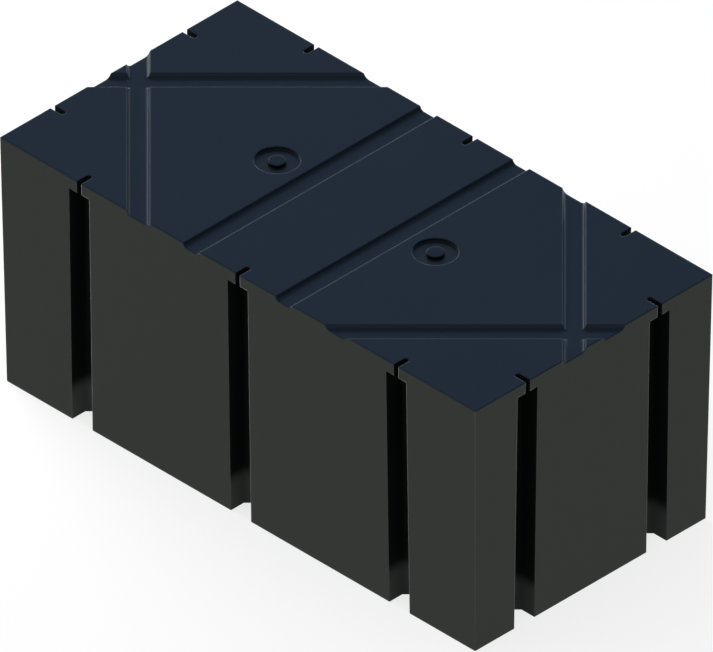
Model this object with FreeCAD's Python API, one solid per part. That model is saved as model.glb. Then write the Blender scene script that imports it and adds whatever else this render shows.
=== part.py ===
import FreeCAD, Part
import math
import os

from FreeCAD import Vector

# Outline of the moulded body, taken at its top edge, where it is widest
LENGTH = 1828.8
WIDTH = 914.4
HEIGHT = 812.8
DRAFT_ANGLE = 0.94              # degrees off plumb, on all four outer walls
EDGE_RADIUS = 3.0               # every edge of the four walls

# Bolt stations: a channel, open to the outside and below, under a slotted lip
SIDE_STATION_COUNT = 3          # on each long side
SIDE_STATION_PITCH = 609.6
END_STATION_COUNT = 2           # on each short end
END_STATION_PITCH = 508.0
LIP_THICKNESS = 38.1            # from the deck to the channel's roof
SLOT_WIDTH = 15.9
BOLT_SETBACK = 38.1             # from the body's top edge to a bolt at the slot's round end
CHANNEL_WIDTH = 76.2
CHANNEL_SIDE_DEPTH = 63.5       # from the body's top edge to the channel's sloping corners
CHANNEL_CORNER = 19.0           # leg of those 45 degree corners

# Grooves across the deck, all of one section
GROOVE_WIDTH = 63.5
GROOVE_DEPTH = 12.7
GROOVE_WALL_ANGLE = 17.0        # degrees off plumb
GROOVE_FLOOR_RADIUS = 15.0
GROOVE_LIP_RADIUS = 2.0
STRAIGHT_GROOVE_OFFSET = 177.8  # from the body's middle
CROSSING_OFFSET = 838.2         # from the body's middle to where two diagonal grooves cross
DIAGONAL_ANGLE = 45.0           # degrees from the long sides

# Filling ports: a round recess in the deck with a blind hole, closed by a plug
PORT_OFFSET = 304.8             # from the body's middle
RECESS_DIAMETER = 127.0
RECESS_DEPTH = 9.5
RECESS_LIP_RADIUS = 2.0
PLUG_HEAD_DIAMETER = 50.8
PLUG_HEAD_CHAMFER = 1.0         # on the head's upper edge
SPIGOT_DIAMETER = 38.0
SPIGOT_LENGTH = 25.0
SPIGOT_CLEARANCE = 0.25         # between spigot and hole, on the radius
SPIGOT_TIP_GAP = 5.0            # left below the spigot's tip

PAST = 10.0                     # how far a cutting shape stands clear of the body
UP = Vector(0, 0, 1)
SIDES = (-1, 1)


def closed_face(points):
    """Flat face inside a closed outline of straight edges."""
    return Part.Face(Part.makePolygon(points + points[:1]))


def centred_rectangle(length, width, z):
    corners = ((-1, -1), (1, -1), (1, 1), (-1, 1))
    return [Vector(sx * length / 2, sy * width / 2, z) for sx, sy in corners]


def tapered_block():
    """Outer form of the body: its four walls lean inwards towards the bottom."""
    lean = 2 * HEIGHT * math.tan(math.radians(DRAFT_ANGLE))
    top = centred_rectangle(LENGTH, WIDTH, HEIGHT)
    bottom = centred_rectangle(LENGTH - lean, WIDTH - lean, 0)
    faces = [closed_face(top), closed_face(bottom)]
    for i in range(4):
        j = (i + 1) % 4
        faces.append(closed_face([bottom[i], bottom[j], top[j], top[i]]))
    return Part.Solid(Part.Shell(faces))


def channel_cutter():
    """Space under the lip, for an edge of the body that runs along X at y = 0, with the body behind it."""
    half = CHANNEL_WIDTH / 2
    back = CHANNEL_SIDE_DEPTH + CHANNEL_CORNER
    right = [(half, -PAST), (half, CHANNEL_SIDE_DEPTH), (half - CHANNEL_CORNER, back)]
    left = [(-x, y) for x, y in reversed(right)]
    outline = [Vector(x, y, -PAST) for x, y in right + left]
    return closed_face(outline).extrude(UP * (HEIGHT - LIP_THICKNESS + PAST))


def slot_cutter():
    """Round-ended slot through the lip, placed as the channel is."""
    radius = SLOT_WIDTH / 2
    bottom = HEIGHT - LIP_THICKNESS - 1
    height = LIP_THICKNESS + 1 + PAST
    end = Part.makeCylinder(radius, height, Vector(0, BOLT_SETBACK, bottom))
    run = Part.makeBox(SLOT_WIDTH, BOLT_SETBACK + PAST, height, Vector(-radius, -PAST, bottom))
    return run.fuse(end)


def centred_row(count, pitch):
    return [(i - (count - 1) / 2) * pitch for i in range(count)]


def station_cutters():
    """Channel and slot of each bolt station, turned to face out of its wall."""
    station = channel_cutter().fuse(slot_cutter()).removeSplitter()
    places = [(x, -WIDTH / 2, 0) for x in centred_row(SIDE_STATION_COUNT, SIDE_STATION_PITCH)]
    places += [(LENGTH / 2, y, 90) for y in centred_row(END_STATION_COUNT, END_STATION_PITCH)]
    cutters = []
    for x, y, turn in places:
        near = station.rotated(Vector(), UP, turn).translated(Vector(x, y, 0))
        cutters += [near, near.rotated(Vector(), UP, 180)]
    return cutters


def wall_edges(shape, block):
    """Edges of every upright face that still lies on the surface of the uncut block."""
    skin = block.Shells[0]
    edges = {}
    for face in shape.Faces:
        upright = abs(face.normalAt(0, 0).z) < 0.5
        if upright and Part.Vertex(face.CenterOfMass).distToShape(skin)[0] < 0.01:
            edges.update((edge.hashCode(), edge) for edge in face.Edges)
    return list(edges.values())


def arc_points(x, z, radius, start, end):
    """Start, middle and end of an arc in the XZ plane about (x, z); the angles are in degrees from +X."""
    angles = [math.radians(a) for a in (start, (start + end) / 2, end)]
    return [Vector(x + radius * math.cos(a), 0, z + radius * math.sin(a)) for a in angles]


def groove_section():
    """Section of a groove in the XZ plane, deck at z = 0: rounded lips, leaning walls, rounded floor corners."""
    turn = 90 - GROOVE_WALL_ANGLE
    run = math.tan(math.radians(turn / 2))
    edge_x = GROOVE_WIDTH / 2 + GROOVE_LIP_RADIUS * run
    foot_x = GROOVE_WIDTH / 2 - GROOVE_DEPTH * math.tan(math.radians(GROOVE_WALL_ANGLE))
    lip = arc_points(edge_x, -GROOVE_LIP_RADIUS, GROOVE_LIP_RADIUS, 90, 90 + turn)
    fillet = arc_points(foot_x - GROOVE_FLOOR_RADIUS * run, GROOVE_FLOOR_RADIUS - GROOVE_DEPTH,
                        GROOVE_FLOOR_RADIUS, turn - 90, -90)
    top, floor = lip[0] + UP * PAST, fillet[2]
    right = [
        Part.makeLine(top, lip[0]),
        Part.Arc(*lip).toShape(),
        Part.makeLine(lip[2], fillet[0]),
        Part.Arc(*fillet).toShape(),
    ]
    left = [edge.mirror(Vector(), Vector(1, 0, 0)) for edge in reversed(right)]
    floor_line = Part.makeLine(floor, Vector(-floor.x, 0, floor.z))
    top_line = Part.makeLine(Vector(-top.x, 0, top.z), top)
    return Part.Face(Part.Wire(right + [floor_line] + left + [top_line]))


def groove_cutter(angle, x):
    """Cuts one groove right across the deck, through (x, 0), at an angle from the long sides."""
    section = groove_section()
    reach = 2 * (LENGTH + WIDTH)
    bar = section.extrude(Vector(0, reach, 0)).translated(Vector(0, -reach / 2, 0))
    return bar.rotated(Vector(), UP, angle - 90).translated(Vector(x, 0, HEIGHT))


def groove_cutters():
    """On each side of the middle, one straight groove and a pair of crossed diagonal ones."""
    cutters = []
    for side in SIDES:
        cutters.append(groove_cutter(90, side * STRAIGHT_GROOVE_OFFSET))
        for angle in (DIAGONAL_ANGLE, -DIAGONAL_ANGLE):
            cutters.append(groove_cutter(angle, side * CROSSING_OFFSET))
    return cutters


def port_seat(side):
    """Middle of a port's recess floor."""
    return Vector(side * PORT_OFFSET, 0, HEIGHT - RECESS_DEPTH)


def port_cutter(side):
    """Recess of one filling port with the blind hole for its plug."""
    recess = Part.makeCylinder(RECESS_DIAMETER / 2, RECESS_DEPTH + PAST, port_seat(side))
    depth = SPIGOT_LENGTH + SPIGOT_TIP_GAP
    radius = SPIGOT_DIAMETER / 2 + SPIGOT_CLEARANCE
    hole = Part.makeCylinder(radius, depth + 1, port_seat(side) - UP * depth)
    return recess.fuse(hole)


def recess_rims(shape):
    """The round edges where the recesses meet the deck."""
    return [edge for edge in shape.Edges if edge.isClosed() and edge.CenterOfMass.z > HEIGHT - 0.01]


def float_body():
    """The sealed moulding, solid inside."""
    block = tapered_block()
    notched = block.cut(station_cutters()).removeSplitter()
    rounded = notched.makeFillet(EDGE_RADIUS, wall_edges(notched, block))
    body = rounded.cut(groove_cutters() + [port_cutter(side) for side in SIDES])
    return body.makeFillet(RECESS_LIP_RADIUS, recess_rims(body))


def fill_plug(side):
    """Plug of one port: its head stands on the recess floor, level with the deck."""
    seat = port_seat(side)
    head = Part.makeCylinder(PLUG_HEAD_DIAMETER / 2, RECESS_DEPTH, seat)
    upper_edge = max(head.Edges, key=lambda edge: edge.CenterOfMass.z)
    head = head.makeChamfer(PLUG_HEAD_CHAMFER, [upper_edge])
    spigot = Part.makeCylinder(SPIGOT_DIAMETER / 2, SPIGOT_LENGTH, seat - UP * SPIGOT_LENGTH)
    return head.fuse(spigot).removeSplitter()


def main():
    nodes = {
        "float_body": float_body(),
        "fill_plug_left": fill_plug(-1),
        "fill_plug_right": fill_plug(1),
    }
    os.makedirs("parts", exist_ok=True)
    for name, shape in nodes.items():
        shape.exportStep(f"parts/{name}.step")
        print(name, len(shape.Solids), "solid", len(shape.Faces), "faces, valid", shape.isValid())


main()
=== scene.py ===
from math import radians, sqrt

import bpy
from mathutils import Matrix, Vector


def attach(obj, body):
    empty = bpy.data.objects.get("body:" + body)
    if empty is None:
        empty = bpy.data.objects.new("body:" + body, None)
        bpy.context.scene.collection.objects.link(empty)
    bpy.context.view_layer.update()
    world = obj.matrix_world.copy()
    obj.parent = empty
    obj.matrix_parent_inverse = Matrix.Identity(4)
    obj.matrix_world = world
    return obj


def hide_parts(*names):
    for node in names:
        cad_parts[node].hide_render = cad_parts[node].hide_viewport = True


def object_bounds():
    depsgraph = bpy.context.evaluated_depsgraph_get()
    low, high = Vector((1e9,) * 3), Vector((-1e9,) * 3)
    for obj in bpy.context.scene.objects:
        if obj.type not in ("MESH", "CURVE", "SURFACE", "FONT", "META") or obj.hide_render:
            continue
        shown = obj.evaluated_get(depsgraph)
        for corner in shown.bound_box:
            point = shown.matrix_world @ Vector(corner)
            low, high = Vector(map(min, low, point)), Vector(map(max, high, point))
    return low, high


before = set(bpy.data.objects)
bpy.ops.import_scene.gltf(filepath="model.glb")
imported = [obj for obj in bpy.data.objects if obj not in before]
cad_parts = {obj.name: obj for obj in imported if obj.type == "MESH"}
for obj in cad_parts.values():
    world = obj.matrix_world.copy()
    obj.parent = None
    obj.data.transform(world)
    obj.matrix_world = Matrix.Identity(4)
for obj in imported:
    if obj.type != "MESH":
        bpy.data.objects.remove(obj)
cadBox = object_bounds()
print("frame loaded:", ", ".join(sorted(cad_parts)))


# small helpers for node trees of both kinds

def addNode(tree, kind, inputs=None, **settings):
    node = tree.nodes.new(kind)
    for name, value in settings.items():
        setattr(node, name, value)
    for name, value in (inputs or {}).items():
        if isinstance(value, bpy.types.NodeSocket):
            tree.links.new(value, node.inputs[name])
        else:
            node.inputs[name].default_value = value
    return node


def setSockets(node, values):
    for name, value in values.items():
        node.inputs[name].default_value = value


def mathNode(tree, operation, *values):
    return addNode(tree, "ShaderNodeMath", dict(enumerate(values)), operation=operation).outputs[0]


def vectorNode(tree, x=0.0, y=0.0, z=0.0):
    return addNode(tree, "ShaderNodeCombineXYZ", {"X": x, "Y": y, "Z": z}).outputs[0]


def scaled(tree, value, factor):
    return mathNode(tree, "MULTIPLY", value, factor)


def noise(tree, place, size, detail):
    return addNode(tree, "ShaderNodeTexNoise", {
        "Vector": place, "Scale": mathNode(tree, "DIVIDE", 1.0, size), "Detail": detail}).outputs[0]


def mixedColour(tree, share, first, second):    # this node's colours go in at 6 and 7 and come out at 2
    return addNode(tree, "ShaderNodeMix", {0: share, 6: first, 7: second}, data_type="RGBA").outputs[2]


def mixedShader(tree, share, first, second):
    return addNode(tree, "ShaderNodeMixShader", {0: share, 1: first.outputs[0], 2: second.outputs[0]})


def colourRamp(tree, factor, stops):
    ramp = addNode(tree, "ShaderNodeValToRGB", {"Fac": factor})
    elements = ramp.color_ramp.elements
    while len(elements) < len(stops):
        elements.new(0.5)
    for element, (position, colour) in zip(elements, stops):
        element.position = position
        element.color = (*colour, 1.0)
    return ramp.outputs["Color"]


# shader groups that the plastics share

groupDetail = {
    "mottleDetail": 3.0,
    "grainDetail": 2.0,
    "patchDetail": 4.0,
    "footFade": (1.25, 0.75),       # where the foot's colour starts and where it is full, in foot heights
    "wearAndHighlightGain": 5.0,                # how soon an edge that turns counts as rubbed and painted paler
    "edgeSamples": 6,
}


def newShaderGroup(name, inputs, outputs):
    group = bpy.data.node_groups.new(name, "ShaderNodeTree")
    for direction, sockets in (("INPUT", inputs), ("OUTPUT", outputs)):
        for socketName, kind in sockets.items():
            group.interface.new_socket(socketName, in_out=direction, socket_type="NodeSocket" + kind)
    return group, addNode(group, "NodeGroupInput").outputs


def makeGrainGroup():               # moulded skin: fine grain, slow mottling, a little change in gloss, and a foot colour, which in the channels is painted light
    group, given = newShaderGroup(
        "mouldedGrain",
        {"Color": "Color", "Foot Color": "Color", "Foot Height": "Float", "Mottle Size": "Float",
         "Mottle": "Float", "Grain Size": "Float", "Roughness": "Float", "Roughness Spread": "Float"},
        {"Color": "Color", "Roughness": "Float", "Height": "Float"})
    place = addNode(group, "ShaderNodeTexCoord").outputs["Object"]
    mottle = noise(group, place, given["Mottle Size"], groupDetail["mottleDetail"])
    grain = noise(group, place, given["Grain Size"], groupDetail["grainDetail"])
    swing = mathNode(group, "SUBTRACT", mottle, 0.5)
    tone = mathNode(group, "MULTIPLY_ADD", swing, given["Mottle"], 1.0)
    height = addNode(group, "ShaderNodeSeparateXYZ", {"Vector": place}).outputs["Z"]
    footTop, footFull = (scaled(group, given["Foot Height"], share) for share in groupDetail["footFade"])
    inFoot = addNode(group, "ShaderNodeMapRange", {
        "Value": height, "From Min": footTop, "From Max": footFull},
        interpolation_type="SMOOTHSTEP").outputs[0]
    base = mixedColour(group, inFoot, given["Color"], given["Foot Color"])
    colour = addNode(group, "ShaderNodeVectorMath", {0: base, "Scale": tone}, operation="SCALE").outputs[0]
    rough = mathNode(group, "MULTIPLY_ADD", swing, given["Roughness Spread"], given["Roughness"])
    addNode(group, "NodeGroupOutput", {"Color": colour, "Roughness": rough, "Height": grain})
    return group


def makeEdgeGroup():                # rounds the shading at edges, and says where they are paler: partly rubbed wear, partly a painted highlight
    group, given = newShaderGroup(
        "softEdges",
        {"Radius": "Float", "Wear And Highlight Amount": "Float", "Patch Size": "Float"},
        {"Normal": "Vector", "Wear And Highlight": "Float"})
    soft = addNode(group, "ShaderNodeBevel", {"Radius": given["Radius"]},
                   samples=groupDetail["edgeSamples"]).outputs[0]
    flat = addNode(group, "ShaderNodeNewGeometry").outputs["Normal"]
    facing = addNode(group, "ShaderNodeVectorMath", {0: soft, 1: flat},
                     operation="DOT_PRODUCT").outputs["Value"]
    turned = scaled(group, mathNode(group, "SUBTRACT", 1.0, facing), groupDetail["wearAndHighlightGain"])
    place = addNode(group, "ShaderNodeTexCoord").outputs["Object"]
    patches = noise(group, place, given["Patch Size"], groupDetail["patchDetail"])
    wearAndHighlightMask = scaled(group, scaled(group, turned, patches), given["Wear And Highlight Amount"])
    wearAndHighlightMask = addNode(group, "ShaderNodeClamp", {"Value": wearAndHighlightMask}).outputs[0]
    addNode(group, "NodeGroupOutput", {"Normal": soft, "Wear And Highlight": wearAndHighlightMask})
    return group


grainGroup = makeGrainGroup()
edgeGroup = makeEdgeGroup()
print("shader groups made")


# black polyethylene: the moulding's outside, its duller channels and recesses, its edges, and the plugs

mouldedSkin = {
    "colour": (0.0030, 0.0031, 0.0032),
    "footColour": (0.0030, 0.0031, 0.0032),     # that the lowest part takes, up to the foot height
    "footHeight": 0.105,
    "mottleSize": 0.300,
    "mottle": 0.30,
    "grainSize": 0.0035,
    "grainDepth": 0.00003,
    "roughness": 0.22,
    "roughnessSpread": 0.03,
    "softEdge": 0.0050,
    "wearAndHighlightAmount": 0.30,
    # paler edges: partly real wear, partly a painted highlight along the edges
    "wearAndHighlightColour": (0.030, 0.034, 0.038),
    "patchSize": 0.050,
    "ior": 1.5,
    "specular": 0.5,
    "sheen": 0.30,
    "sheenRoughness": 0.25,
    "sheenTint": (0.60, 0.82, 1.00),
}
plastics = {
    "outerSkin": mouldedSkin,
    "channelSkin": {
        # the channels' paler foot colour is painted light, where light comes in at the open bottom
        **mouldedSkin, "footColour": (0.0600, 0.0630, 0.0600), "mottleSize": 0.150, "mottle": 0.40,
        "grainSize": 0.0025, "grainDepth": 0.00008, "roughness": 0.80, "roughnessSpread": 0.05, "wearAndHighlightAmount": 0.0,
        "specular": 0.15, "sheen": 0.0,
    },
    "recessSkin": {**mouldedSkin, "roughness": 0.36, "wearAndHighlightAmount": 0.0},
    "softenedEdge": {           # the rounded strips that face up
        **mouldedSkin, "mottleSize": 0.040, "mottle": 0.40, "grainSize": 0.0020, "roughnessSpread": 0.05,
        "softEdge": 0.0030, "wearAndHighlightAmount": 0.0, "sheen": 0.90, "sheenRoughness": 0.26,
        "sheenTint": (0.70, 0.87, 1.00),
    },
    "mouthEdgePaintedHighlight": {             # those that face sideways; their paler colour is a painted highlight along the channels' and slots' mouths
        **mouldedSkin, "colour": (0.0140, 0.0145, 0.0142), "mottleSize": 0.040, "mottle": 0.40,
        "grainSize": 0.0020, "roughness": 0.30, "roughnessSpread": 0.05, "softEdge": 0.0030, "wearAndHighlightAmount": 0.0,
        "sheen": 1.0, "sheenRoughness": 0.45, "sheenTint": (0.97, 1.00, 0.98),
    },
    "plugSkin": {
        **mouldedSkin, "mottleSize": 0.060, "grainSize": 0.0020, "roughness": 0.15, "softEdge": 0.0060,
        "patchSize": 0.020, "sheen": 0.0,
    },
}


def makePlastic(name, look):
    material = bpy.data.materials.new(name)
    material.use_nodes = True
    tree = material.node_tree
    tree.nodes.clear()
    grain = addNode(tree, "ShaderNodeGroup", node_tree=grainGroup)
    edges = addNode(tree, "ShaderNodeGroup", node_tree=edgeGroup)
    setSockets(grain, {
        "Color": (*look["colour"], 1.0), "Foot Color": (*look["footColour"], 1.0),
        "Foot Height": look["footHeight"], "Mottle Size": look["mottleSize"], "Mottle": look["mottle"],
        "Grain Size": look["grainSize"], "Roughness": look["roughness"],
        "Roughness Spread": look["roughnessSpread"]})
    setSockets(edges, {"Radius": look["softEdge"], "Wear And Highlight Amount": look["wearAndHighlightAmount"], "Patch Size": look["patchSize"]})
    # edges turn paler: rubbed wear together with a painted highlight
    colour = mixedColour(tree, edges.outputs["Wear And Highlight"], grain.outputs["Color"], (*look["wearAndHighlightColour"], 1.0))
    bump = addNode(tree, "ShaderNodeBump", {
        "Strength": 1.0, "Distance": look["grainDepth"], "Height": grain.outputs["Height"],
        "Normal": edges.outputs["Normal"]}).outputs[0]
    shader = addNode(tree, "ShaderNodeBsdfPrincipled", {
        "Base Color": colour, "Roughness": grain.outputs["Roughness"], "Normal": bump,
        "IOR": look["ior"], "Specular IOR Level": look["specular"], "Sheen Weight": look["sheen"],
        "Sheen Roughness": look["sheenRoughness"], "Sheen Tint": (*look["sheenTint"], 1.0)})
    addNode(tree, "ShaderNodeOutputMaterial", {"Surface": shader.outputs[0]})
    return material


materials = {name: makePlastic(name, look) for name, look in plastics.items()}
print("materials made:", ", ".join(materials))


# moulded body: a block with leaning walls, whose bolt stations, grooves and filling ports are cut out

bodyDesign = {
    "shape": {                          # inputs of the tree that cuts the body
        "Length": 1.82876,              # at the deck, like the width; a hair short, to stay in the CAD box
        "Width": 0.91436,
        "Height": 0.8128,
        "Wall Lean": 0.013336,          # how far a wall comes in from the deck to the foot
        "Side Stations": 3,
        "Side Pitch": 0.6096,
        "End Stations": 2,
        "End Pitch": 0.5080,
        "Lip Thickness": 0.0381,
        "Slot Width": 0.0159,
        "Slot Depth": 0.04605,          # from the body's top edge to the slot's round end
        "Slot Round": 0.49999,          # its corner radius in slot widths; at a half, two points would meet
        "Slot Corner Points": 12,
        "Slot Overlap": 0.0040,         # how far a slot's cutter reaches into the channel
        "Channel Width": 0.0762,
        "Channel Depth": 0.0825,
        "Channel Corner": 0.0190,
        "Groove Width": 0.0635,
        "Groove Depth": 0.0127,
        "Groove Slope": 0.30573,        # how far a groove's wall leans for each unit of depth
        "Groove Floor Radius": 0.0150,
        "Groove Corner Points": 8,
        "Straight Offset": 0.1778,      # from the body's middle
        "Crossing Offset": 0.8382,
        "Diagonal Angle": radians(45),
        "Port Offset": 0.3048,
        "Recess Diameter": 0.1270,
        "Recess Depth": 0.0095,
        "Recess Sides": 96,
        "Hole Diameter": 0.0385,
        "Hole Depth": 0.0300,
        "Hole Sides": 48,
        "Past": 0.0400,                 # how far a cutting shape stands clear of the body
        "Cutter Merge": 0.000001,       # nearer points than this are one
        "Body Merge": 0.00002,
        "Edge Angle": radians(30),      # only an outward edge that turns by more is rounded
    },
    "finish": {
        "edgeRadius": 0.0020,
        "edgeSegments": 3,
        "flatWeight": 50,               # how much more the broad faces count in the shading
        "upwardLimit": 0.1,             # an edge strip that faces up more than this doesn't take the paler painted highlight
        "rimDepth": 0.0030,             # deeper below the deck than this, a recess has its own finish
    },
}


def newShapeTree(name, values, takesShape=False):
    tree = bpy.data.node_groups.new(name, "GeometryNodeTree")
    tree.interface.new_socket("Geometry", in_out="OUTPUT", socket_type="NodeSocketGeometry")
    if takesShape:
        tree.interface.new_socket("Geometry", in_out="INPUT", socket_type="NodeSocketGeometry")
    kinds = {int: "Int", float: "Float", bpy.types.Material: "Material"}
    for inputName, value in values.items():
        tree.interface.new_socket(inputName, in_out="INPUT", socket_type="NodeSocket" + kinds[type(value)])
    return tree, addNode(tree, "NodeGroupInput").outputs


def addShapeModifier(maker, name, makeTree, values):
    modifier = maker.modifiers.new(name, "NODES")
    modifier.node_group = makeTree(values)
    for socket in modifier.node_group.interface.items_tree:
        if socket.in_out == "INPUT" and socket.name in values:
            modifier[socket.identifier] = values[socket.name]


def moved(tree, shape, place=(0, 0, 0), turn=(0, 0, 0)):
    return addNode(tree, "GeometryNodeTransform",
                   {"Geometry": shape, "Translation": place, "Rotation": turn}).outputs[0]


def joined(tree, *shapes):
    join = addNode(tree, "GeometryNodeJoinGeometry")
    for shape in shapes:
        tree.links.new(shape, join.inputs[0])
    return join.outputs[0]


def merged(tree, shape, distance):
    return addNode(tree, "GeometryNodeMergeByDistance",
                   {"Geometry": shape, "Distance": distance}).outputs[0]


def positionParts(tree):
    position = addNode(tree, "GeometryNodeInputPosition").outputs[0]
    return addNode(tree, "ShaderNodeSeparateXYZ", {"Vector": position}).outputs


def shaded(tree, shape, smooth, where=True, domain="FACE"):
    return addNode(tree, "GeometryNodeSetShadeSmooth", {
        "Geometry": shape, "Selection": where, "Shade Smooth": smooth}, domain=domain).outputs[0]


def realMesh(tree, shape):
    return addNode(tree, "GeometryNodeRealizeInstances", {"Geometry": shape}).outputs[0]


def clad(tree, shape, material, where=True):
    return addNode(tree, "GeometryNodeSetMaterial",
                   {"Geometry": shape, "Selection": where, "Material": material}).outputs[0]


def boolean(tree, operation, shape, *tools):
    inputs = {"Mesh 2": joined(tree, *tools), "Self Intersection": True}
    if operation == "DIFFERENCE":
        inputs["Mesh 1"] = shape
    return addNode(tree, "GeometryNodeMeshBoolean", inputs, operation=operation, solver="EXACT").outputs[0]


def prism(tree, size, curve, height):   # stands on a closed flat curve
    foot = addNode(tree, "GeometryNodeFillCurve", {"Curve": curve}, mode="NGONS").outputs[0]
    rest = addNode(tree, "GeometryNodeExtrudeMesh", {
        "Mesh": foot, "Offset": (0, 0, 1), "Offset Scale": height, "Individual": False}).outputs[0]
    underside = addNode(tree, "GeometryNodeFlipFaces", {"Mesh": foot}).outputs[0]
    return merged(tree, joined(tree, rest, underside), size["Cutter Merge"])


def rowAlongX(tree, shape, count, pitch, y=0.0, turn=(0, 0, 0)):
    start = scaled(tree, mathNode(tree, "SUBTRACT", count, 1), scaled(tree, pitch, -0.5))
    points = addNode(tree, "GeometryNodeMeshLine", {
        "Count": count, "Start Location": vectorNode(tree, start, y),
        "Offset": vectorNode(tree, pitch)}).outputs[0]
    return addNode(tree, "GeometryNodeInstanceOnPoints",
                   {"Points": points, "Instance": shape, "Rotation": turn}).outputs[0]


def leaningBlock(tree, size):
    block = addNode(tree, "GeometryNodeMeshCube",
                    {"Size": vectorNode(tree, size["Length"], size["Width"], size["Height"])}).outputs[0]
    place = positionParts(tree)
    lean = scaled(tree, size["Wall Lean"], mathNode(tree, "LESS_THAN", place["Z"], 0.0))
    inwards = scaled(tree, lean, -1.0)
    shift = [scaled(tree, mathNode(tree, "SIGN", place[axis]), inwards) for axis in "XY"]
    rise = scaled(tree, size["Height"], 0.5)
    return addNode(tree, "GeometryNodeSetPosition",
                   {"Geometry": block, "Offset": vectorNode(tree, *shift, rise)}).outputs[0]


def toBeRounded(tree, shape, edges):    # the Bevel modifier reads this weight
    return addNode(tree, "GeometryNodeStoreNamedAttribute", {
        "Geometry": shape, "Name": "bevel_weight_edge", "Value": edges},
        data_type="FLOAT", domain="EDGE").outputs[0]


def marked(tree, shape, name):      # its faces keep a mark through the cut
    return addNode(tree, "GeometryNodeStoreNamedAttribute", {
        "Geometry": shape, "Name": name, "Value": True}, data_type="BOOLEAN", domain="FACE").outputs[0]


def isMarked(tree, name):
    return addNode(tree, "GeometryNodeInputNamedAttribute", {"Name": name}, data_type="BOOLEAN").outputs[0]


def stationCutter(tree, size):      # channel and slot for a wall along X, with the body behind it
    def cutter(width, depth, bottom, top, cornerRadius, cornerPoints):
        run = mathNode(tree, "ADD", depth, size["Past"])
        curve = addNode(tree, "GeometryNodeCurvePrimitiveQuadrilateral",
                        {"Width": width, "Height": run}).outputs[0]
        curve = addNode(tree, "GeometryNodeFilletCurve", {
            "Curve": curve, "Count": cornerPoints, "Radius": cornerRadius}, mode="POLY").outputs[0]
        y = scaled(tree, mathNode(tree, "SUBTRACT", depth, size["Past"]), 0.5)
        solid = prism(tree, size, curve, mathNode(tree, "SUBTRACT", top, bottom))
        return moved(tree, solid, vectorNode(tree, 0.0, y, bottom))

    roof = mathNode(tree, "SUBTRACT", size["Height"], size["Lip Thickness"])
    foot = scaled(tree, size["Past"], -1.0)
    channel = cutter(size["Channel Width"], size["Channel Depth"], foot, roof, size["Channel Corner"],
                     cornerPoints=1)        # which makes its corners slopes
    above = mathNode(tree, "ADD", size["Height"], size["Past"])
    below = mathNode(tree, "SUBTRACT", roof, size["Slot Overlap"])
    slotRadius = scaled(tree, size["Slot Width"], size["Slot Round"])
    slot = cutter(size["Slot Width"], size["Slot Depth"], below, above, slotRadius,
                  cornerPoints=size["Slot Corner Points"])
    return marked(tree, boolean(tree, "UNION", None, channel, slot), "inChannel")


def stations(tree, size):
    station = stationCutter(tree, size)
    rows = []
    for count, pitch, across, turns in (("Side Stations", "Side Pitch", "Width", (0, 180)),
                                        ("End Stations", "End Pitch", "Length", (90, 270))):
        row = rowAlongX(tree, station, size[count], size[pitch], scaled(tree, size[across], -0.5))
        rows += [moved(tree, row, turn=(0, 0, radians(turn))) for turn in turns]
    return joined(tree, *rows)


def grooveCutter(tree, size):       # a trapezoid with rounded lower corners, laid along Y
    def width(z):
        lean = scaled(tree, z, size["Groove Slope"])
        return mathNode(tree, "MULTIPLY_ADD", lean, 2.0, size["Groove Width"])

    whole = mathNode(tree, "ADD", size["Groove Depth"], size["Past"])
    below = scaled(tree, size["Groove Depth"], -1.0)
    curve = addNode(tree, "GeometryNodeCurvePrimitiveQuadrilateral", {
        "Bottom Width": width(below), "Top Width": width(size["Past"]), "Height": whole, "Offset": 0.0},
        mode="TRAPEZOID").outputs[0]
    isLower = mathNode(tree, "LESS_THAN", positionParts(tree)["Y"], 0.0)
    radius = scaled(tree, size["Groove Floor Radius"], isLower)
    curve = addNode(tree, "GeometryNodeFilletCurve", {
        "Curve": curve, "Count": size["Groove Corner Points"], "Radius": radius}, mode="POLY").outputs[0]
    reach = mathNode(tree, "ADD", size["Length"], size["Width"])
    bar = prism(tree, size, curve, reach)
    bar = moved(tree, bar, vectorNode(tree, z=scaled(tree, reach, -0.5)))
    rise = mathNode(tree, "MULTIPLY_ADD", whole, 0.5, mathNode(tree, "ADD", size["Height"], below))
    return moved(tree, moved(tree, bar, turn=(radians(90), 0, 0)), vectorNode(tree, z=rise))


def grooves(tree, size):
    bar = grooveCutter(tree, size)
    straight = scaled(tree, size["Straight Offset"], 2.0)
    crossing = scaled(tree, size["Crossing Offset"], 2.0)
    turns = [vectorNode(tree, z=scaled(tree, size["Diagonal Angle"], side)) for side in (-1.0, 1.0)]
    return joined(tree, rowAlongX(tree, bar, 2, straight),
                  *(rowAlongX(tree, bar, 2, crossing, turn=turn) for turn in turns))


def drum(tree, diameter, bottom, top, sides, x=0.0):
    height = mathNode(tree, "SUBTRACT", top, bottom)
    shape = addNode(tree, "GeometryNodeMeshCylinder", {
        "Vertices": sides, "Radius": scaled(tree, diameter, 0.5), "Depth": height}).outputs[0]
    return moved(tree, shape, vectorNode(tree, x, 0.0, mathNode(tree, "MULTIPLY_ADD", height, 0.5, bottom)))


def ports(tree, size):
    above = mathNode(tree, "ADD", size["Height"], size["Past"])
    floor = mathNode(tree, "SUBTRACT", size["Height"], size["Recess Depth"])
    end = mathNode(tree, "SUBTRACT", floor, size["Hole Depth"])
    recess = drum(tree, size["Recess Diameter"], floor, above, size["Recess Sides"])
    hole = drum(tree, size["Hole Diameter"], end, above, size["Hole Sides"])
    port = marked(tree, boolean(tree, "UNION", None, recess, hole), "inRecess")
    return rowAlongX(tree, port, 2, scaled(tree, size["Port Offset"], 2.0))


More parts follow.
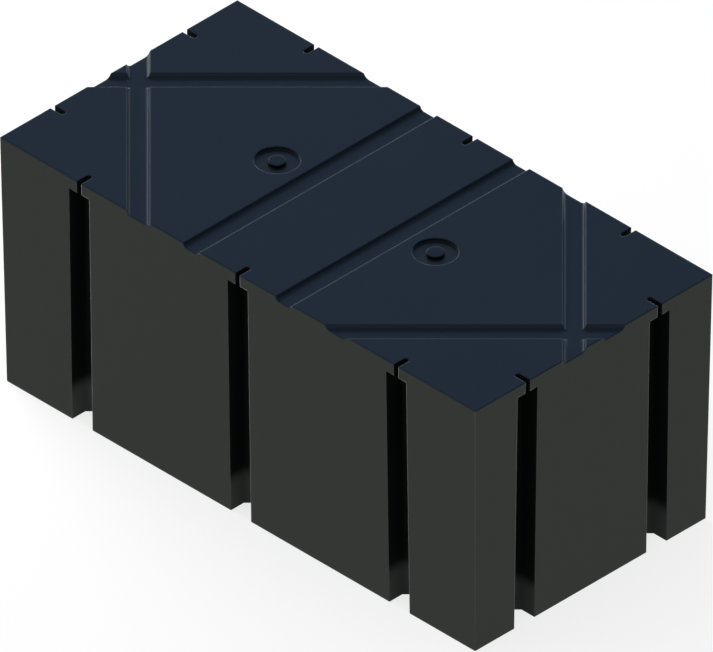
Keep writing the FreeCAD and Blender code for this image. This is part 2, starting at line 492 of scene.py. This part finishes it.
def makeBodyTree(values):
    tree, size = newShapeTree("cutMouldedBody", values)
    block = clad(tree, leaningBlock(tree, size), size["Outer Plastic"])
    deckCuts = clad(tree, joined(tree, grooves(tree, size), ports(tree, size)), size["Outer Plastic"])
    sideCuts = clad(tree, stations(tree, size), size["Channel Plastic"])
    body = boolean(tree, "DIFFERENCE", block, sideCuts, deckCuts)
    body = shaded(tree, merged(tree, body, size["Body Merge"]), True)
    turned = addNode(tree, "GeometryNodeInputMeshEdgeAngle").outputs["Signed Angle"]
    outward = mathNode(tree, "GREATER_THAN", turned, size["Edge Angle"])
    inward = mathNode(tree, "LESS_THAN", turned, scaled(tree, size["Edge Angle"], -1.0))
    body = shaded(tree, toBeRounded(tree, body, outward), False, inward, "EDGE")    # inward edges stay sharp
    body = clad(tree, realMesh(tree, body), size["Channel Plastic"], isMarked(tree, "inChannel"))
    addNode(tree, "NodeGroupOutput", {"Geometry": body})
    return tree


def makeEdgeTree(values):           # gives the rounded strips, channels and recesses their materials; sideways strips take the paler painted highlight
    tree, given = newShapeTree("sortEdges", values, takesShape=True)
    normal = addNode(tree, "GeometryNodeInputNormal").outputs[0]
    upward = addNode(tree, "ShaderNodeSeparateXYZ", {"Vector": normal}).outputs["Z"]
    sideways = mathNode(tree, "LESS_THAN", upward, given["Upward Limit"])
    slot = addNode(tree, "GeometryNodeInputMaterialIndex").outputs[0]
    strip = mathNode(tree, "GREATER_THAN", slot, mathNode(tree, "SUBTRACT", given["Edge Slot"], 0.5))
    isLow = mathNode(tree, "LESS_THAN", positionParts(tree)["Z"], given["Recess Top"])
    inRecess = scaled(tree, isMarked(tree, "inRecess"), isLow)
    body = clad(tree, realMesh(tree, given["Geometry"]), given["Edge Plastic"], strip)
    body = clad(tree, body, given["Mouth Plastic"], scaled(tree, strip, sideways))
    body = clad(tree, body, given["Channel Plastic"], isMarked(tree, "inChannel"))
    body = clad(tree, body, given["Recess Plastic"], inRecess)
    addNode(tree, "NodeGroupOutput", {"Geometry": body})
    return tree


def newMaker(slots):
    maker = bpy.data.objects.new("maker", bpy.data.meshes.new("maker"))
    bpy.context.scene.collection.objects.link(maker)
    for name in slots:
        maker.data.materials.append(materials.get(name))
    return maker


def addRounding(maker, finish, materialSlot=-1):    # at -1 the strips take their neighbours' material
    rounding = maker.modifiers.new("rounding", "BEVEL")
    rounding.limit_method = "WEIGHT"
    rounding.width = finish["edgeRadius"]
    rounding.segments = finish["edgeSegments"]
    rounding.material = materialSlot
    rounding.use_clamp_overlap = False


def takePiece(maker, name, node, finish):   # keeps what the modifiers make
    flattening = maker.modifiers.new("flattening", "WEIGHTED_NORMAL")
    flattening.weight = finish["flatWeight"]
    flattening.keep_sharp = True
    depsgraph = bpy.context.evaluated_depsgraph_get()
    mesh = bpy.data.meshes.new_from_object(maker.evaluated_get(depsgraph), preserve_all_data_layers=True,
                                           depsgraph=depsgraph)
    bpy.data.objects.remove(maker)
    mesh.name = name
    piece = bpy.data.objects.new(name, mesh)
    bpy.context.scene.collection.objects.link(piece)
    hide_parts(node)
    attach(piece, "root")
    return piece


def makeBody(design):
    shape, finish = design["shape"], design["finish"]
    slots = (None, "outerSkin", "channelSkin", "softenedEdge")      # the cut has an empty slot first
    edgeSlot = slots.index("softenedEdge")      # marks the rounded strips until they are sorted
    maker = newMaker(slots)
    addShapeModifier(maker, "cutting", makeBodyTree, {
        **shape, "Outer Plastic": materials["outerSkin"], "Channel Plastic": materials["channelSkin"]})
    addRounding(maker, finish, edgeSlot)
    addShapeModifier(maker, "sorting", makeEdgeTree, {
        # the mouth strips take a paler colour, a painted highlight
        "Edge Plastic": materials["softenedEdge"], "Mouth Plastic": materials["mouthEdgePaintedHighlight"],
        "Channel Plastic": materials["channelSkin"], "Recess Plastic": materials["recessSkin"],
        "Edge Slot": edgeSlot, "Upward Limit": finish["upwardLimit"],
        "Recess Top": shape["Height"] - finish["rimDepth"]})
    body = takePiece(maker, "mouldedBody", "float_body", finish)
    body.data.materials.pop(index=0)
    return body


body = makeBody(bodyDesign)
print("moulded body made:", len(body.data.polygons), "faces,", ", ".join(body.data.materials.keys()))


# filling plugs: a low round head, level with the deck, on a spigot

plugDesign = {
    "shape": {
        "Deck Height": bodyDesign["shape"]["Height"],
        "Head Diameter": 0.0508,
        "Head Height": bodyDesign["shape"]["Recess Depth"],
        "Head Sides": 64,
        "Spigot Diameter": 0.0380,
        "Spigot Length": 0.0250,
        "Spigot Sides": 48,
    },
    "finish": {
        "edgeRadius": 0.0015,
        "edgeSegments": 4,
        "flatWeight": 50,
    },
}


def makePlugTree(values):
    tree, size = newShapeTree("turnPlug", values)
    top = size["Deck Height"]
    seat = mathNode(tree, "SUBTRACT", top, size["Head Height"])
    head = drum(tree, size["Head Diameter"], seat, top, size["Head Sides"], size["Place"])
    inHead = mathNode(tree, "MULTIPLY_ADD", size["Head Height"], 0.5, seat)
    tip = mathNode(tree, "SUBTRACT", seat, size["Spigot Length"])
    spigot = drum(tree, size["Spigot Diameter"], tip, inHead, size["Spigot Sides"], size["Place"])
    plug = boolean(tree, "UNION", None, head, spigot)
    upper = mathNode(tree, "GREATER_THAN", positionParts(tree)["Z"], inHead)
    plug = shaded(tree, toBeRounded(tree, plug, upper), True)
    addNode(tree, "NodeGroupOutput", {"Geometry": clad(tree, realMesh(tree, plug), size["Plastic"])})
    return tree


def makePlug(name, node, side, design):
    maker = newMaker(())
    place = side * bodyDesign["shape"]["Port Offset"]
    addShapeModifier(maker, "turning", makePlugTree, {
        **design["shape"], "Place": place, "Plastic": materials["plugSkin"]})
    addRounding(maker, design["finish"])
    return takePiece(maker, name, node, design["finish"])


plugs = [makePlug("plugLeft", "fill_plug_left", -1, plugDesign),
         makePlug("plugRight", "fill_plug_right", 1, plugDesign)]
print("plugs made:", ", ".join(f"{plug.name} of {len(plug.data.polygons)} faces" for plug in plugs))


# floor, sky and lamps

studio = {
    "floorReach": 14.0,
    "floorColour": (0.92, 0.92, 0.92),
    "floorShade": 0.25,         # how much of the lamps' light and shade the white floor shows at the object
    "shadeReach": 3.5,          # where the floor has turned quite white
    "floorInGloss": (0.455, 0.505, 0.450),
    "roomLight": 0.55,
    "lampSize": 3.0,
    "lampTarget": (0.0, 0.0, 0.4),
    "lamps": {                  # place and power
        "overheadLamp": ((-0.8, -0.8, 3.2), 30.0),
        "leftLamp": ((-4.8, 0.3, 1.4), 400.0),
    },
    "sky": (                    # from the horizon, 0, to straight up, 1
        (0.00, (0.36, 0.46, 0.60)),
        (0.30, (0.24, 0.34, 0.52)),
        (0.57, (0.168, 0.290, 0.525)),
        (1.00, (0.12, 0.20, 0.32)),
    ),
    "glow": (                   # added low over the horizon, by height
        (0.00, (0.75, 0.88, 1.00)),
        (0.24, (0.75, 0.88, 1.00)),
        (0.32, (0.30, 0.35, 0.40)),
        (0.44, (0.0, 0.0, 0.0)),
    ),
    "glowSide": (               # where round the horizon it shows: 1 is towards its middle
        (0.00, (0.0, 0.0, 0.0)),
        (0.20, (0.22, 0.22, 0.22)),
        (0.80, (0.42, 0.42, 0.42)),
        (0.95, (1.0, 1.0, 1.0)),
    ),
    "glowMiddle": (-1.0, 0.05, 0.1),
    "darkSide": (               # dims the sky at the far right, in the same way
        (0.00, (1.0, 1.0, 1.0)),
        (0.50, (1.0, 1.0, 1.0)),
        (0.80, (0.40, 0.55, 0.65)),
        (1.00, (0.15, 0.30, 0.40)),
    ),
    "darkMiddle": (0.85, 0.52, 0.1),
}


def makeFloor(look):
    reach = look["floorReach"]
    corners = [(-reach, -reach, 0), (reach, -reach, 0), (reach, reach, 0), (-reach, reach, 0)]
    mesh = bpy.data.meshes.new("studioFloor")
    mesh.from_pydata(corners, [], [(0, 1, 2, 3)])
    floor = bpy.data.objects.new("studioFloor", mesh)
    bpy.context.scene.collection.objects.link(floor)
    material = bpy.data.materials.new("paleFloor")
    material.use_nodes = True
    tree = material.node_tree
    tree.nodes.clear()
    path = addNode(tree, "ShaderNodeLightPath")
    paint = addNode(tree, "ShaderNodeBsdfDiffuse", {"Color": (*look["floorColour"], 1.0)})
    white = addNode(tree, "ShaderNodeEmission", {"Color": (1, 1, 1, 1), "Strength": 1.0})
    gloss = addNode(tree, "ShaderNodeEmission", {"Color": (*look["floorInGloss"], 1.0), "Strength": 1.0})
    place = addNode(tree, "ShaderNodeTexCoord").outputs["Object"]
    distance = addNode(tree, "ShaderNodeVectorMath", {0: place}, operation="LENGTH").outputs["Value"]
    shade = addNode(tree, "ShaderNodeMapRange", {
        "Value": distance, "From Max": look["shadeReach"], "To Min": look["floorShade"], "To Max": 0.0},
        interpolation_type="SMOOTHSTEP").outputs[0]
    seen = mixedShader(tree, shade, white, paint)
    lit = mixedShader(tree, path.outputs["Is Camera Ray"], paint, seen)
    whole = mixedShader(tree, path.outputs["Is Glossy Ray"], lit, gloss)
    addNode(tree, "ShaderNodeOutputMaterial", {"Surface": whole.outputs[0]})
    mesh.materials.append(material)


def nearness(tree, outwards, middle):   # 1 towards the middle, 0 at a right angle to it
    return addNode(tree, "ShaderNodeVectorMath", {0: outwards, 1: Vector(middle).normalized()},
                   operation="DOT_PRODUCT").outputs["Value"]


def makeWorld(look):
    world = bpy.data.worlds.new("studioRoom")
    bpy.context.scene.world = world
    world.use_nodes = True
    tree = world.node_tree
    tree.nodes.clear()
    path = addNode(tree, "ShaderNodeLightPath")
    outwards = addNode(tree, "ShaderNodeTexCoord").outputs["Generated"]
    height = addNode(tree, "ShaderNodeSeparateXYZ", {"Vector": outwards}).outputs["Z"]
    darkSide = colourRamp(tree, nearness(tree, outwards, look["darkMiddle"]), look["darkSide"])
    glowSide = colourRamp(tree, nearness(tree, outwards, look["glowMiddle"]), look["glowSide"])
    dimmed = addNode(tree, "ShaderNodeVectorMath", {0: colourRamp(tree, height, look["sky"]), 1: darkSide},
                     operation="MULTIPLY").outputs[0]
    glow = addNode(tree, "ShaderNodeVectorMath", {0: colourRamp(tree, height, look["glow"]), 1: glowSide},
                   operation="MULTIPLY").outputs[0]
    total = addNode(tree, "ShaderNodeVectorMath", {0: dimmed, 1: glow}, operation="ADD").outputs[0]
    sky = addNode(tree, "ShaderNodeBackground", {"Color": total})
    room = addNode(tree, "ShaderNodeBackground", {"Color": (1, 1, 1, 1), "Strength": look["roomLight"]})
    white = addNode(tree, "ShaderNodeBackground", {"Color": (1, 1, 1, 1), "Strength": 1.0})
    lit = mixedShader(tree, path.outputs["Is Glossy Ray"], room, sky)
    seen = mixedShader(tree, path.outputs["Is Camera Ray"], lit, white)
    addNode(tree, "ShaderNodeOutputWorld", {"Surface": seen.outputs[0]})


def makeLamp(name, place, power, look):
    light = bpy.data.lights.new(name, "AREA")
    light.shape = "SQUARE"
    light.size = look["lampSize"]
    light.energy = power
    lamp = bpy.data.objects.new(name, light)
    bpy.context.scene.collection.objects.link(lamp)
    lamp.location = place
    lamp.rotation_euler = (Vector(look["lampTarget"]) - Vector(place)).to_track_quat("-Z", "Y").to_euler()
    lamp.visible_glossy = False     # only the sky and the floor are mirrored


makeFloor(studio)
makeWorld(studio)
for name, (place, power) in studio["lamps"].items():
    makeLamp(name, place, power, studio)
print("studio made")


# camera: isometric, no perspective

cameraSetup = {
    "across": 1.9390,           # metres across the picture
    "distance": 6.0,
    "right": 0.0007,            # of the object's middle
    "up": 0.0047,
    "farLimit": 40.0,
}


def makeCamera(setup):
    middle = (cadBox[0] + cadBox[1]) / 2
    right = Vector((1, 1, 0)) / sqrt(2)
    up = Vector((-1, 1, 2)) / sqrt(6)
    back = Vector((1, -1, 1)) / sqrt(3)
    data = bpy.data.cameras.new("isometricCamera")
    data.type = "ORTHO"
    data.ortho_scale = setup["across"]
    data.clip_end = setup["farLimit"]
    camera = bpy.data.objects.new("isometricCamera", data)
    bpy.context.scene.collection.objects.link(camera)
    camera.location = middle + right * setup["right"] + up * setup["up"] + back * setup["distance"]
    camera.rotation_euler = (-back).to_track_quat("-Z", "Y").to_euler()
    bpy.context.scene.camera = camera


makeCamera(cameraSetup)
bpy.context.scene.view_settings.view_transform = "Standard"
print("camera placed")

print("scene ready")
